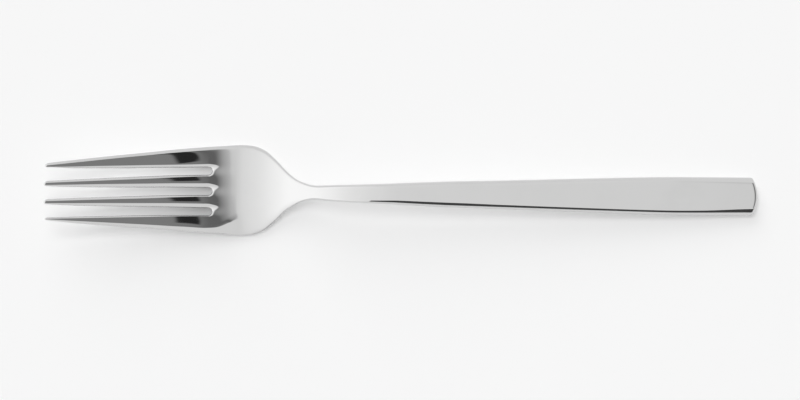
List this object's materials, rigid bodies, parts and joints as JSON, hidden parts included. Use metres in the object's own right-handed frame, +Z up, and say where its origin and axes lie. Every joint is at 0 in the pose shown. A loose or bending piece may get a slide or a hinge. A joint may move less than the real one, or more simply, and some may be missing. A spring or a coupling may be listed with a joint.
{
  "type": "dinner fork",
  "caption": "Slim dinner fork in polished stainless steel, with long tines, a rounded narrow shoulder and a straight handle that widens to a shallow arched end.",
  "frame": {"origin": "on the table under the middle of the fork's bounding box, with the fork lying hollow side up on its heel and the end of its handle", "axes": "+X along the fork from the tips of the tines to the end of the handle, +Y across it, +Z up from the table"},
  "size_m": [0.1999, 0.0254, 0.0136],
  "materials": {
    "steel": "polished"
  },
  "bodies": {
    "root": {"fork": "steel"}
  },
  "joints": []
}
